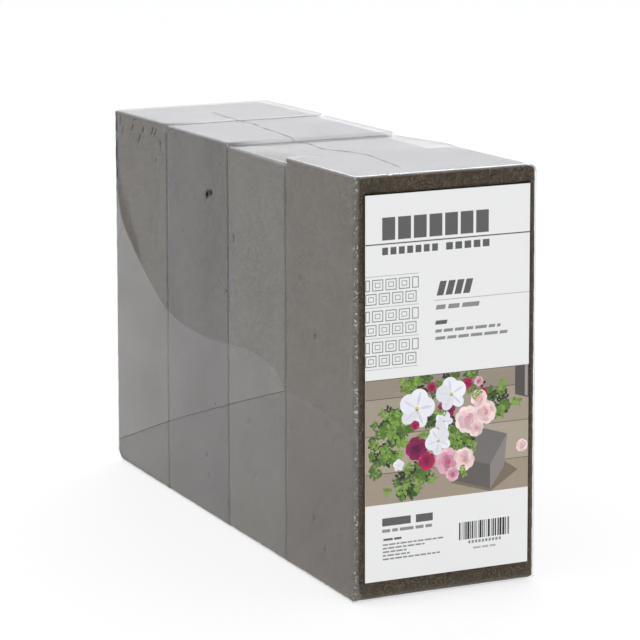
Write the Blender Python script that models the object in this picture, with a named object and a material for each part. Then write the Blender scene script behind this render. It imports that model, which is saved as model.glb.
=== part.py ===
"""Shrink-wrapped pack of four dry floral foam bricks with a printed card in front of them.

Metres, +Z up. The origin is the centre of the pack's footprint, on the surface it stands on.
The card faces -Y, and +X is to the right of someone who reads it. The bricks stand on end, one
behind another along +Y.
"""

import math
from collections import namedtuple

import bmesh
import bpy
from mathutils import Matrix, Vector

# Driving dimensions of a brick, nominal.
BRICK_WIDTH = 0.110
BRICK_THICKNESS = 0.080
BRICK_HEIGHT = 0.230

# Driving dimensions of the card and the film. Real film is 0.03 mm to 0.05 mm thick.
CARD_WIDTH = 0.0995
CARD_HEIGHT = 0.2085
CARD_THICKNESS = 0.0003
CARD_SHIFT_X = 0.0003
CARD_LIFT = 0.0112
FILM_WALL = 0.0003
GAP = 0.0003

# Vent holes punched through the film's rear panel, in one level row.
VENT_RADIUS = 0.002
VENT_COUNT = 3
VENT_PITCH = 0.025
VENT_HEIGHT = 0.150
VENT_SEGMENTS = 16

# How a brick differs from the nominal one: its extra thickness, how far the front and the rear edge of
# its top lie below the nominal height, how far its right side stands back, and its colour.
BrickSpec = namedtuple("BrickSpec", "thicker front_drop rear_drop set_back colour")

# From the card backwards.
BRICKS = (
    BrickSpec(-0.0006, 0.0004, 0.0002, 0.0000, (0.088, 0.077, 0.066)),
    BrickSpec(-0.0069, 0.0040, 0.0030, 0.0030, (0.097, 0.088, 0.075)),
    BrickSpec(0.0056, 0.0012, 0.0008, 0.0025, (0.083, 0.077, 0.073)),
    BrickSpec(0.0019, 0.0000, 0.0000, 0.0020, (0.088, 0.082, 0.071)),
)

# Radii of the pack's twelve outer edges, where the tight film has crushed the foam. A key says on which
# side of the pack the edge lies, as (x, y, z), with 0 for the direction along the edge.
OUTER_RADII = {
    (1, 0, 1): 0.0070,
    (1, 0, -1): 0.0045,
    (-1, 0, 1): 0.0015,
    (-1, 0, -1): 0.0020,
    (0, -1, 1): 0.0015,
    (0, 1, 1): 0.0020,
    (0, -1, -1): 0.0065,
    (0, 1, -1): 0.0095,
    (-1, -1, 0): 0.0025,
    (1, -1, 0): 0.0035,
    (-1, 1, 0): 0.0020,
    (1, 1, 0): 0.0030,
}
ROUND_SEGMENTS = 4

# Sizes that follow from the driving dimensions.
FOAM_LIFT = FILM_WALL + GAP
STACK_DEPTH = len(BRICKS) * BRICK_THICKNESS
FRONT_LAYERS = FILM_WALL + GAP + CARD_THICKNESS + GAP
REAR_LAYERS = GAP + FILM_WALL
PACK_WIDTH = BRICK_WIDTH + 2 * FOAM_LIFT
PACK_DEPTH = STACK_DEPTH + FRONT_LAYERS + REAR_LAYERS
PACK_HEIGHT = BRICK_HEIGHT + 2 * FOAM_LIFT
FRONT_Y = -PACK_DEPTH / 2


def clear_scene():
    """Removes every object that the file already holds."""
    for obj in list(bpy.data.objects):
        bpy.data.objects.remove(obj, do_unlink=True)


def make_material(name, colour, roughness, alpha=1.0):
    """A non-metallic Principled material."""
    material = bpy.data.materials.new(name)
    material.use_nodes = True
    shader = material.node_tree.nodes["Principled BSDF"]
    shader.inputs["Base Color"].default_value = (*colour, 1.0)
    shader.inputs["Roughness"].default_value = roughness
    shader.inputs["Metallic"].default_value = 0.0
    shader.inputs["Alpha"].default_value = alpha
    return material


def add_object(name, bm, material, parent, location):
    """Turns bm into a smooth-shaded object placed under parent."""
    mesh = bpy.data.meshes.new(name)
    bm.to_mesh(mesh)
    bm.free()
    mesh.shade_smooth()
    mesh.materials.append(material)
    obj = bpy.data.objects.new(name, mesh)
    obj.location = location
    obj.parent = parent
    bpy.context.scene.collection.objects.link(obj)
    return obj


def box_mesh(low, high):
    """A closed box between two corners."""
    bm = bmesh.new()
    size = high - low
    placed = Matrix.Translation((low + high) / 2) @ Matrix.Diagonal((*size, 1.0))
    bmesh.ops.create_cube(bm, size=1.0, matrix=placed)
    return bm


def edge_side(edge, centre):
    """Which side of centre a box's edge lies on: (x, y, z) of -1, 0 or 1, with 0 along the edge."""
    along = edge.verts[1].co - edge.verts[0].co
    length_axis = max(range(3), key=lambda axis: abs(along[axis]))
    middle = (edge.verts[0].co + edge.verts[1].co) / 2 - centre
    return tuple(0 if axis == length_axis else int(math.copysign(1, middle[axis])) for axis in range(3))


def weigh_edges(bm, radius_of):
    """Gives each of a box's edges the bevel weight that rounds it to radius_of(side)."""
    largest = max(OUTER_RADII.values()) + FILM_WALL
    weight = bm.edges.layers.float.new("bevel_weight_edge")
    corners = [vert.co for vert in bm.verts]
    centre = sum(corners, Vector()) / len(corners)
    for edge in bm.edges:
        edge[weight] = radius_of(edge_side(edge, centre)) / largest
    return largest


def round_edges(obj, largest):
    """Rounds an object's edges to their bevel weights, where a weight of 1 is the largest radius."""
    bevel = obj.modifiers.new("rounded edges", "BEVEL")
    bevel.limit_method = "WEIGHT"
    bevel.width = largest
    bevel.segments = ROUND_SEGMENTS
    bevel.harden_normals = True


def brick_radius(side, is_front, is_rear):
    """Radius of one brick edge: crushed on the outside of the pack, sharp where it meets a neighbour."""
    meets_neighbour = (side[1] < 0 and not is_front) or (side[1] > 0 and not is_rear)
    return 0.0 if meets_neighbour else OUTER_RADII[side]


def build_brick(index, stack_y, spec, parent):
    """One foam brick that starts at stack_y. Its origin is the middle of its base's front edge."""
    name = f"foam_brick_{index + 1}"
    is_front = index == 0
    is_rear = index == len(BRICKS) - 1
    depth = BRICK_THICKNESS + spec.thicker - (0.0 if is_rear else GAP)
    half = BRICK_WIDTH / 2
    bm = box_mesh(Vector((-half, 0.0, 0.0)), Vector((half - spec.set_back, depth, BRICK_HEIGHT)))
    for vert in bm.verts:
        if vert.co.z > BRICK_HEIGHT / 2:
            is_front_edge = vert.co.y < depth / 2
            vert.co.z -= spec.front_drop if is_front_edge else spec.rear_drop
    largest = weigh_edges(bm, lambda side: brick_radius(side, is_front, is_rear))
    material = make_material(f"dry_foam_{index + 1}", spec.colour, roughness=0.95)
    obj = add_object(name, bm, material, parent, Vector((0.0, stack_y, FOAM_LIFT)))
    round_edges(obj, largest)


def build_bricks(parent):
    """The four bricks, one behind another."""
    stack_y = FRONT_Y + FRONT_LAYERS
    for index, spec in enumerate(BRICKS):
        build_brick(index, stack_y, spec, parent)
        stack_y += BRICK_THICKNESS + spec.thicker


def build_card(parent):
    """The printed card, flat against the front brick. Its origin is the middle of its lower rear edge."""
    half = CARD_WIDTH / 2
    bm = box_mesh(Vector((-half, -CARD_THICKNESS, 0.0)), Vector((half, 0.0, CARD_HEIGHT)))
    rear_y = FRONT_Y + FRONT_LAYERS - GAP
    material = make_material("printed_card", (0.82, 0.82, 0.82), roughness=0.55)
    add_object("label_card", bm, material, parent, Vector((CARD_SHIFT_X, rear_y, FOAM_LIFT + CARD_LIFT)))


def film_box(name, inset, material, parent):
    """The pack's rounded outline, moved inwards by inset. Its origin is the pack's origin."""
    half_width, half_depth = PACK_WIDTH / 2 - inset, PACK_DEPTH / 2 - inset
    low = Vector((-half_width, -half_depth, inset))
    high = Vector((half_width, half_depth, PACK_HEIGHT - inset))
    bm = box_mesh(low, high)
    largest = weigh_edges(bm, lambda side: OUTER_RADII[side] + FILM_WALL - inset)
    obj = add_object(name, bm, material, parent, Vector())
    round_edges(obj, largest)
    return obj


def vent_punch(material, parent):
    """A row of round punches, with their axes along Y, that pass through the film's rear panel."""
    bm = bmesh.new()
    upright_to_y = Matrix.Rotation(math.radians(90), 4, "X")
    for number in range(VENT_COUNT):
        x = (number - (VENT_COUNT - 1) / 2) * VENT_PITCH
        bmesh.ops.create_cone(
            bm,
            cap_ends=True,
            segments=VENT_SEGMENTS,
            radius1=VENT_RADIUS,
            radius2=VENT_RADIUS,
            depth=4 * FILM_WALL,
            matrix=Matrix.Translation((x, 0.0, 0.0)) @ upright_to_y,
        )
    middle = Vector((0.0, PACK_DEPTH / 2 - FILM_WALL / 2, VENT_HEIGHT))
    return add_object("vent_punch", bm, material, parent, middle)


def cut(obj, cutter):
    """Subtracts cutter, which stays in the file as a wire guide."""
    boolean = obj.modifiers.new(cutter.name, "BOOLEAN")
    boolean.operation = "DIFFERENCE"
    boolean.solver = "EXACT"
    boolean.object = cutter
    cutter.hide_render = True
    cutter.display_type = "WIRE"


def build_film(parent):
    """The film bag, drawn tight around the bricks and the card, with vent holes in its rear panel."""
    material = make_material("clear_film", (0.9, 0.9, 0.9), roughness=0.1, alpha=0.2)
    film = film_box("shrink_film", 0.0, material, parent)
    cut(film, film_box("film_cavity", FILM_WALL, material, parent))
    cut(film, vent_punch(material, parent))


def build_pack():
    """Everything, under one empty at the origin."""
    clear_scene()
    pack = bpy.data.objects.new("pack", None)
    bpy.context.scene.collection.objects.link(pack)
    build_bricks(pack)
    build_card(pack)
    build_film(pack)


build_pack()
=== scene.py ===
"""Looks of a shrink-wrapped pack of dry floral foam bricks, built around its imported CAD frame.

Metres, +Z up. The card faces -Y and +X is to its right. The bricks are gridded blocks with dents, pits
and crumbling edges. The card carries a printed layer of flat shapes. The film is one drawn-tight skin,
with folded-over layers, a welded seam and the rims of vent holes on top of it.
"""

import math
from collections import namedtuple

import bmesh
import bpy
import numpy as np
from mathutils import Matrix, Vector


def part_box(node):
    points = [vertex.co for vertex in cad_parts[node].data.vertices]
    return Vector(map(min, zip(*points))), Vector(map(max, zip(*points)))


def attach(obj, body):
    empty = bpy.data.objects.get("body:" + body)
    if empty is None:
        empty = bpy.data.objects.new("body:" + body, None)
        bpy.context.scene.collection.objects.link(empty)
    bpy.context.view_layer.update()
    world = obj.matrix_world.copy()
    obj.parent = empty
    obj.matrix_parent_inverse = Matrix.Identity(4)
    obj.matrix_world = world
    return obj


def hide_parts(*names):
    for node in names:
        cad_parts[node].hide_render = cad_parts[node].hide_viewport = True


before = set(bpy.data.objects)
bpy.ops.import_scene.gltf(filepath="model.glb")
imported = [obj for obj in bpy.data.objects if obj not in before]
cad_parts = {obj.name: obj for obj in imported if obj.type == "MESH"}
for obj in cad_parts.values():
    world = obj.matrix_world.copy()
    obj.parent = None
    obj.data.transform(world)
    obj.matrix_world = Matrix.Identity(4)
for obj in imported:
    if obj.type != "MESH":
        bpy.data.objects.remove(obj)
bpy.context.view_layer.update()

MM = 0.001
BRICK_NAMES = ("foam_brick_1", "foam_brick_2", "foam_brick_3", "foam_brick_4")
ROOT = "root"

# ---- shapes in numbers

# Radii of the pack's outer edges. A side is an axis and + or -, so ("x+", "z+") is the right top edge.
EDGE_RADII = {
    (first, second): radius * MM
    for first, second, radius in (
        ("x+", "z+", 7.0), ("x+", "z-", 4.5), ("x-", "z+", 1.5), ("x-", "z-", 2.0),
        ("y-", "z+", 1.5), ("y+", "z+", 3.6), ("y-", "z-", 6.5), ("y+", "z-", 13.0),
        ("x-", "y-", 2.5), ("x+", "y-", 3.5), ("x-", "y+", 2.8), ("x+", "y+", 3.0),
    )
}
SEAM_RADIUS = 0.8 * MM


def blunt_foot(radius):
    """The radius of an upright edge that grows blunter towards the floor."""
    return lambda points: radius + 4 * MM * bump(points[:, 2], 14 * MM)


def hashed(cells, seed):
    """One repeatable random value from -1 to 1 for each row of three whole numbers."""
    mask = 0xFFFFFFFF
    mixed = (cells[..., 0] * 73856093) ^ (cells[..., 1] * 19349663) ^ (cells[..., 2] * 83492791)
    mixed = (mixed ^ (seed * 2654435761)) & mask
    mixed = ((mixed ^ (mixed >> 13)) * 1274126177) & mask
    mixed = ((mixed ^ (mixed >> 16)) * 2246822519) & mask
    return (mixed & 0xFFFFFF) / 0x7FFFFF - 1.0


def noise(points, size, seed):
    """Smooth random values from -1 to 1, with bumps about size across."""
    scaled = points / size + 100.0
    cell = np.floor(scaled).astype(np.int64)
    part = scaled - np.floor(scaled)
    part = part * part * (3.0 - 2.0 * part)
    total = np.zeros(len(points))
    for corner in np.ndindex(2, 2, 2):
        step = np.array(corner)
        weight = np.prod(np.where(step == 1, part, 1.0 - part), axis=1)
        total += weight * hashed(cell + step, seed)
    return total


def unit(values):
    """Values held between 0 and 1."""
    return np.clip(values, 0.0, 1.0)


def ramp(values, start, end):
    """0 at start and 1 at end, in proportion between them."""
    return unit((values - start) / (end - start))


def bump(distance, radius):
    """1 at distance 0, falling smoothly to 0 at radius."""
    near = unit(1.0 - np.asarray(distance) / radius)
    return near * near * (3.0 - 2.0 * near)


def round_corner(first, second, radius):
    """Distance outside two half-spaces whose shared edge is rounded to radius."""
    inside = np.minimum(np.maximum(first, second), -radius)
    return inside + np.hypot(np.maximum(first + radius, 0.0), np.maximum(second + radius, 0.0))


def box_planes(low, high):
    """How far points lie outside each side of a box."""
    planes = {}
    for axis, letter in enumerate("xyz"):
        planes[letter + "-"] = lambda points, axis=axis: low[axis] - points[:, axis]
        planes[letter + "+"] = lambda points, axis=axis: points[:, axis] - high[axis]
    return planes


def rounded_distance(points, planes, radii):
    """Distance outside a six-sided body whose edges have these radii, each a number or a function."""
    depth = {side: plane(points) for side, plane in planes.items()}
    parts = []
    for (first, second), radius in radii.items():
        size = radius(points) if callable(radius) else radius
        parts.append(round_corner(depth[first], depth[second], size))
    return np.max(parts, axis=0)


def gradient(points, distance):
    """How fast a distance function changes along each axis."""
    probe = 0.02 * MM
    slope = np.empty_like(points)
    for axis in range(3):
        shift = np.zeros(3)
        shift[axis] = probe
        slope[:, axis] = (distance(points + shift) - distance(points - shift)) / (2 * probe)
    return slope


def outward(points, distance):
    """Unit outward normals of a distance function."""
    slope = gradient(points, distance)
    return slope / np.maximum(np.linalg.norm(slope, axis=1, keepdims=True), 1e-9)


def settle(points, planes, radii):
    """Moves points onto a rounded six-sided body, and returns them with its outward normals there."""
    def distance(places):
        return rounded_distance(places, planes, radii)

    for _ in range(12):
        slope = gradient(points, distance)
        steepness = np.maximum(np.sum(slope * slope, axis=1), 0.25)
        points = points - (distance(points) / steepness)[:, None] * slope
    return points, outward(points, distance)


def grid_lines(low, high, step, extra=()):
    """Coordinates from low to high, step apart, but closer near both ends and at the extra places."""
    fine = 0.3 * MM
    growth = 1.25
    lines = [low, high]
    offset, gap = fine, fine
    while gap < step:
        lines += [low + offset, high - offset]
        gap *= growth
        offset += gap
    count = max(1, round((high - low - 2 * offset) / step))
    lines += list(np.linspace(low + offset, high - offset, count + 1))
    for place in extra:
        lines += [place + shift * 0.5 * MM for shift in range(-3, 4)]
    kept = [low]
    for line in sorted(lines):
        if line - kept[-1] > 0.2 * MM and line < high - 0.2 * MM:
            kept.append(line)
    return np.array(kept + [high])


def lattice(xs, ys, zs):
    """Points and outward quads of a closed box whose sides are gridded at these coordinates."""
    shape = (len(xs), len(ys), len(zs))
    shell = np.zeros(shape, bool)
    shell[[0, -1], :, :] = True
    shell[:, [0, -1], :] = True
    shell[:, :, [0, -1]] = True
    index = np.full(shape, -1)
    index[shell] = np.arange(shell.sum())
    points = np.stack(np.meshgrid(xs, ys, zs, indexing="ij"), axis=-1)[shell]
    quads = []
    for axis in range(3):
        for end in (0, -1):
            sheet = np.take(index, end, axis=axis)
            corners = [sheet[:-1, :-1], sheet[1:, :-1], sheet[1:, 1:], sheet[:-1, 1:]]
            faces = np.stack(corners, axis=-1).reshape(-1, 4)
            turns_in = (end == 0) != (axis == 1)
            quads.append(faces[:, ::-1] if turns_in else faces)
    return points, np.concatenate(quads)


def gridded_box(low, high, steps, dents, seams=()):
    """A closed box with these grid steps along X, Y and Z, which are finer at dents and seams."""
    return lattice(
        grid_lines(low.x, high.x, steps[0]),
        grid_lines(low.y, high.y, steps[1], [dent.y for dent in dents] + list(seams)),
        grid_lines(low.z, high.z, steps[2], [dent.z for dent in dents]),
    )


# ---- mesh helpers


def add_object(name, data):
    """Puts a mesh, a light or a camera into the scene."""
    made = bpy.data.objects.new(name, data)
    bpy.context.scene.collection.objects.link(made)
    return made


def add_piece(name, mesh, material, slot, *nodes):
    """Adds a finished mesh to the scene as a piece that stands for the given CAD nodes."""
    mesh.materials.append(material)
    piece = add_object(name, mesh)
    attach(piece, ROOT)
    if nodes:
        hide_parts(*nodes)
    return piece


def mesh_from(name, points, faces):
    """A smooth-shaded mesh from arrays of points and faces."""
    mesh = bpy.data.meshes.new(name)
    mesh.from_pydata([tuple(p) for p in points], [], [tuple(f) for f in faces])
    mesh.shade_smooth()
    return mesh


def grid_faces(rows, columns, rows_close=False, columns_close=False):
    """Quads between points that come row by row. Rows or columns may close into rings."""
    faces = []
    for row in range(rows if rows_close else rows - 1):
        near, far = row * columns, (row + 1) % rows * columns
        for column in range(columns if columns_close else columns - 1):
            after = (column + 1) % columns
            faces.append((near + column, near + after, far + after, far + column))
    return faces


def set_attribute(mesh, name, values, kind="FLOAT", domain="POINT"):
    """Stores one value per vertex, edge or face."""
    layer = mesh.attributes.new(name, kind, domain)
    layer.data.foreach_set("value", np.asarray(values, np.float32 if kind == "FLOAT" else bool))


def thicken(piece, thickness, offset):
    """Gives a sheet of film its wall."""
    wall = piece.modifiers.new("film thickness", "SOLIDIFY")
    wall.thickness = thickness
    wall.offset = offset


def polar(angle, reach):
    """The step that leads reach away at an angle in degrees."""
    return reach * math.cos(math.radians(angle)), reach * math.sin(math.radians(angle))


def curve_through(points, per_span=10):
    """Points along a smooth curve through the given ones (Catmull-Rom)."""
    knots = np.array(points, float)
    knots = np.vstack([2 * knots[0] - knots[1], knots, 2 * knots[-1] - knots[-2]])
    smooth = []
    for span in range(len(knots) - 3):
        p0, p1, p2, p3 = knots[span:span + 4]
        for t in np.arange(per_span) / per_span:
            smooth.append(
                0.5 * (2 * p1 + (p2 - p0) * t + (2 * p0 - 5 * p1 + 4 * p2 - p3) * t**2
                       + (3 * p1 - p0 - 3 * p2 + p3) * t**3)
            )
    smooth.append(knots[-2])
    return np.array(smooth)


# ---- materials


def srgb(red, green, blue):
    """Linear colour of an sRGB colour given as 0 to 255."""
    return tuple(
        value / 12.92 if value <= 0.04045 else ((value + 0.055) / 1.055) ** 2.4
        for value in (red / 255, green / 255, blue / 255)
    )


class Graph:
    """A small helper to write a node tree as code. The tree is a new material's, or a given one."""

    def __init__(self, name, tree=None):
        if tree is None:
            self.material = bpy.data.materials.new(name)
            self.material.use_nodes = True
            tree = self.material.node_tree
        self.tree = tree
        self.tree.nodes.clear()

    def add(self, kind, inputs=None, **settings):
        """Adds a node, with its inputs set to values or linked to sockets."""
        made = self.tree.nodes.new("ShaderNode" + kind)
        for key, value in settings.items():
            setattr(made, key, value)
        for key, value in (inputs or {}).items():
            socket = made.inputs[key]
            if isinstance(value, bpy.types.NodeSocket):
                self.tree.links.new(value, socket)
            elif socket.type == "RGBA":
                socket.default_value = (*value[:3], 1.0)
            else:
                socket.default_value = value
        return made

    def place(self):
        """The shaded point in the piece's own coordinates."""
        return self.add("TexCoord").outputs["Object"]

    def stored(self, name):
        """The node that reads a mesh's attribute."""
        return self.add("Attribute", attribute_name=name)

    def math(self, operation, first, second=0.0):
        """The result of a math node."""
        return self.add("Math", {0: first, 1: second}, operation=operation).outputs[0]

    def times(self, first, second):
        """The product of two numbers."""
        return self.math("MULTIPLY", first, second)

    def noise(self, size, detail=2.0, roughness=0.5, stretch=(1.0, 1.0, 1.0)):
        """Noise from 0 to 1 with features about size across."""
        place = self.add("Mapping", {"Vector": self.place(), "Scale": stretch}).outputs[0]
        inputs = {"Vector": place, "Scale": 1.0 / size, "Detail": detail, "Roughness": roughness}
        return self.add("TexNoise", inputs).outputs["Fac"]

    def cells(self, size):
        """A Voronoi texture with cells about size across."""
        return self.add("TexVoronoi", {"Vector": self.place(), "Scale": 1.0 / size})

    def spread(self, value, low_in, high_in, low_out, high_out):
        """value, mapped from one range to another and clamped."""
        inputs = {"Value": value, 1: low_in, 2: high_in, 3: low_out, 4: high_out}
        return self.add("MapRange", inputs).outputs[0]

    def bump(self, height, strength, distance):
        """A bumped normal."""
        return self.add("Bump", {"Height": height, "Strength": strength, "Distance": distance}).outputs[0]

    def blend(self, factor, first, second, how="MIX"):
        """Two colours put together."""
        inputs = {0: factor, 6: first, 7: second}
        return self.add("Mix", inputs, data_type="RGBA", blend_type=how).outputs[2]

    def scale_colour(self, colour, factor):
        """A colour multiplied by a number socket."""
        grey = self.add("CombineColor", {0: factor, 1: factor, 2: factor}).outputs[0]
        return self.blend(1.0, colour, grey, "MULTIPLY")

    def finish(self, shader):
        """Ends the tree and returns its material."""
        self.add("OutputMaterial", {"Surface": shader.outputs[0]})
        return self.material


def foam_material(name, tint):
    """Dry foam: dull and dusty, a fine open grain, pale crumbs and dark pores.

    A vertex attribute tells how deep, in millimetres, a place lies below the smooth shape. The deeper
    a place, the darker its colour and the less its sheen: painted shade in dents, pits, crumbled edges
    and grooves, with extra painted shade along the rear brick's left edge.
    """
    graph = Graph(name)
    patches = graph.noise(30 * MM, detail=1.0)
    mottle = graph.noise(4 * MM, detail=3.0, roughness=0.6)
    grain = graph.noise(0.6 * MM, roughness=0.7)
    hollow_shade = graph.stored("hollow_shade").outputs["Fac"]
    crumb = graph.add("SeparateColor", {0: graph.cells(0.75 * MM).outputs["Color"]}).outputs[0]
    shade = graph.spread(patches, 0.25, 0.75, 0.93, 1.07)
    for pattern, *limits in (
        (mottle, 0.25, 0.75, 0.9, 1.1),
        (grain, 0.25, 0.75, 0.75, 1.25),
        (graph.math("POWER", crumb, 3.0), 0.0, 1.0, 0.7, 2.0),
        # painted shade: the deeper a place, the darker its colour
        (hollow_shade, 0.3, 0.75, 1.0, 0.08),
    ):
        shade = graph.times(shade, graph.spread(pattern, *limits))
    colour = graph.scale_colour(tint, shade)

    flecks = graph.cells(1.5 * MM)
    fleck_size = graph.spread(flecks.outputs["Distance"], 0.15, 0.4, 1.0, 0.0)
    pick = graph.add("SeparateColor", {0: flecks.outputs["Color"]})
    crumbs = graph.times(fleck_size, graph.spread(pick.outputs[0], 0.8, 0.9, 0.0, 0.7))
    pores = graph.times(fleck_size, graph.spread(pick.outputs[1], 0.84, 0.93, 0.0, 0.75))
    colour = graph.blend(crumbs, colour, [part * 2.8 for part in tint])
    colour = graph.blend(pores, colour, [part * 0.3 for part in tint])

    openings = graph.cells(0.7 * MM).outputs["Distance"]
    height = graph.math("ADD", openings, graph.times(grain, 1.4))
    inputs = {
        "Base Color": colour,
        "Roughness": graph.spread(grain, 0.2, 0.8, 0.85, 1.0),
        "Specular IOR Level": 0.15,
        # no sheen in the deepest places, part of the painted shade
        "Sheen Weight": graph.spread(hollow_shade, 0.3, 0.75, 0.25, 0.0),
        "Sheen Roughness": 0.5,
        "Normal": graph.bump(height, 0.12, 0.08 * MM),
    }
    return graph.finish(graph.add("BsdfPrincipled", inputs))


def card_material():
    """White coated card with a faint fibre."""
    graph = Graph("coated_card")
    fibre = graph.noise(0.6 * MM, detail=3.0)
    colour = graph.scale_colour((0.835, 0.835, 0.83), graph.spread(fibre, 0.3, 0.7, 0.985, 1.01))
    relief = graph.bump(fibre, 0.08, 0.05 * MM)
    inputs = {"Base Color": colour, "Roughness": 0.55, "Specular IOR Level": 0.3, "Normal": relief}
    return graph.finish(graph.add("BsdfPrincipled", inputs))


def ink_material():
    """Printing ink, in the colour stored on each face, with the fine unevenness of a halftone."""
    graph = Graph("printing_ink")
    speckle = graph.spread(graph.noise(0.5 * MM), 0.3, 0.7, 0.93, 1.06)
    colour = graph.scale_colour(graph.stored("ink").outputs["Color"], speckle)
    roughness = graph.spread(graph.noise(8 * MM), 0.3, 0.7, 0.42, 0.5)
    inputs = {"Base Color": colour, "Roughness": roughness, "Specular IOR Level": 0.3}
    return graph.finish(graph.add("BsdfPrincipled", inputs))


def film_material(name, clearness=0.985):
    """Clear film: what lies behind shows through, and it mirrors more the flatter it is looked at.

    The vertex attribute "gloss" scales how much of the mirrored light each place sends back, with fine
    specks where it is high, which are painted glints. A face attribute adds to it where the film climbs
    from brick to brick, a painted reflection.
    """
    graph = Graph(name)
    stretch = graph.noise(6 * MM, stretch=(1.0, 0.35, 1.0))
    facing = graph.add("LayerWeight", {"Blend": 0.5}).outputs["Facing"]
    head_on = 0.022
    flatter = graph.times(graph.math("POWER", facing, 5.0), 1.0 - head_on)
    mirror = graph.math("ADD", flatter, head_on)
    gloss = graph.stored("gloss").outputs["Fac"]
    # Painted glints: spots that mirror up to six times more where the gloss is high.
    specks = graph.spread(graph.noise(1.2 * MM, detail=1.0), 0.6, 0.74, 0.9, 6.0)
    excess = graph.times(graph.math("SUBTRACT", specks, 1.0), graph.spread(gloss, 2.4, 3.0, 0.0, 1.0))
    share = graph.times(mirror, graph.times(gloss, graph.math("ADD", excess, 1.0)))
    # Painted reflection where the film climbs from brick to brick.
    share = graph.times(share, graph.math("ADD", graph.stored("climb_reflection").outputs["Fac"], 1.0))
    share = graph.times(share, graph.spread(graph.noise(35 * MM), 0.3, 0.7, 0.9, 1.1))
    share = graph.math("MINIMUM", share, 1.0)
    clear = graph.add("BsdfTransparent", {"Color": [clearness] * 3})
    relief = graph.bump(stretch, 0.12, 0.15 * MM)
    shine = graph.add("BsdfGlossy", {"Roughness": 0.09, "Normal": relief})
    return graph.finish(graph.add("MixShader", {0: share, 1: clear.outputs[0], 2: shine.outputs[0]}))


# ---- foam bricks

# Linear colours, from the card backwards.
FOAM_TINTS = {
    "foam_brick_1": (0.057, 0.043, 0.027),
    "foam_brick_2": (0.074, 0.065, 0.052),
    "foam_brick_3": (0.056, 0.048, 0.044),
    "foam_brick_4": (0.062, 0.053, 0.041),
}
FOAM_STEP = 2.0 * MM
PITS_PER_BRICK = 26
# The foam's own unevenness: height and size across of each kind of wave.
FOAM_WAVES = ((0.10 * MM, 28 * MM), (0.05 * MM, 7 * MM), (0.05 * MM, 2.6 * MM))
CRUMBLE_DEPTH = 0.55 * MM

# Dents in the left side, as places along Y and Z. Long ones lean by an angle from upright, in degrees.
Dent = namedtuple("Dent", "y z radius depth length lean")
LEFT_DENTS = tuple(
    Dent(y * MM, z * MM, radius * MM, depth * MM, length * MM, lean)
    for y, z, radius, depth, length, lean in (
        (20, 196, 2.1, 1.9, 1.5, -50), (15, 197.5, 1.6, 1.7, 0.6, 0), (-14.5, 175, 0.9, 1.2, 1.6, 0),
        (55, 168, 0.8, 0.9, 0.4, 0), (-114.5, 136.5, 1.0, 1.2, 0.5, 0), (23.5, 36, 1.1, 1.3, 0.4, 0),
        (-113.5, 35.5, 1.1, 1.2, 0.4, 0), (-125, 21, 0.9, 1.1, 0.4, 0), (11.5, 70.5, 0.9, 1.1, 0.4, 0),
        (88, 218, 0.9, 0.9, 1.2, -40), (95, 224, 0.8, 0.9, 2.2, -35), (100, 224, 0.8, 0.9, 2.2, -35),
        (114, 223, 0.9, 1.0, 1.6, -25), (120, 217, 0.9, 1.0, 2.2, -30), (127, 228, 0.7, 0.8, 2.2, -80),
        (131, 222.5, 0.8, 0.9, 2.6, -40), (146, 219, 0.8, 0.8, 2.4, -25), (150, 225, 0.8, 0.9, 3.0, -15),
    )
)
# Only these are wide enough for the film to lose its gloss over them: a painted shade that makes them
# look dark.
WIDE_DENTS = [dent for dent in LEFT_DENTS if dent.radius > 1.2 * MM]
# A long shallow mark in the rear brick, which the grid is not made finer for.
FOLD_MARK = Dent(87 * MM, 215 * MM, 0.8 * MM, 0.5 * MM, 9 * MM, 28)


class BrickShape:
    """A brick as its CAD node gives it: its box, its sloping top and which edges lie outside the pack."""

    def __init__(self, name):
        self.low, self.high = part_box(name)
        middle = (self.low.y + self.high.y) / 2
        corners = np.array([vertex.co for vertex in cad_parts[name].data.vertices])
        self.front_top = corners[corners[:, 1] < middle][:, 2].max()
        self.rear_top = corners[corners[:, 1] > middle][:, 2].max()
        self.is_front = name == BRICK_NAMES[0]
        self.is_rear = name == BRICK_NAMES[-1]

    def top(self, y):
        """Height of the top at a depth."""
        return np.interp(y, [self.low.y, self.high.y], [self.front_top, self.rear_top])

    def planes(self):
        """The brick's six sides."""
        planes = box_planes(self.low, self.high)
        planes["z+"] = lambda points: points[:, 2] - self.top(points[:, 1])
        return planes

    def radii(self):
        """The brick's twelve edges: crushed outside the pack, sharp beside a neighbour."""
        hidden = set()
        if not self.is_front:
            hidden.add("y-")
        if not self.is_rear:
            hidden.add("y+")
        radii = dict(EDGE_RADII)
        for edge in radii:
            if hidden & set(edge):
                radii[edge] = SEAM_RADIUS
        if self.is_front:
            radii[("x-", "y-")] = blunt_foot(radii[("x-", "y-")])
        return radii


def dent_depth(points, dent):
    """How deep a dent in the left side is at each point."""
    lean = math.radians(dent.lean)
    along = np.array([math.sin(lean), math.cos(lean)])
    offset = points[:, 1:3] - np.array([dent.y, dent.z])
    lengthwise = np.clip(offset @ along, -dent.length, dent.length)
    apart = np.linalg.norm(offset - lengthwise[:, None] * along, axis=1)
    ragged = 1.0 + 0.25 * noise(points, 1.3 * MM, 31)
    return dent.depth * bump(apart * ragged, dent.radius * 1.3)


def scattered_pits(brick, seed, count):
    """Small pits at random places on the brick's box, but not on its left side: centres and radii."""
    random = np.random.default_rng(seed)
    low, high = np.array(brick.low), np.array(brick.high)
    centres = low + random.random((count, 3)) * (high - low)
    side = random.integers(1, 6, count)
    for number in range(count):
        axis = side[number] // 2
        centres[number, axis] = low[axis] if side[number] % 2 else high[axis]
    return centres, random.uniform(0.9, 1.7, count) * MM


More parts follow.
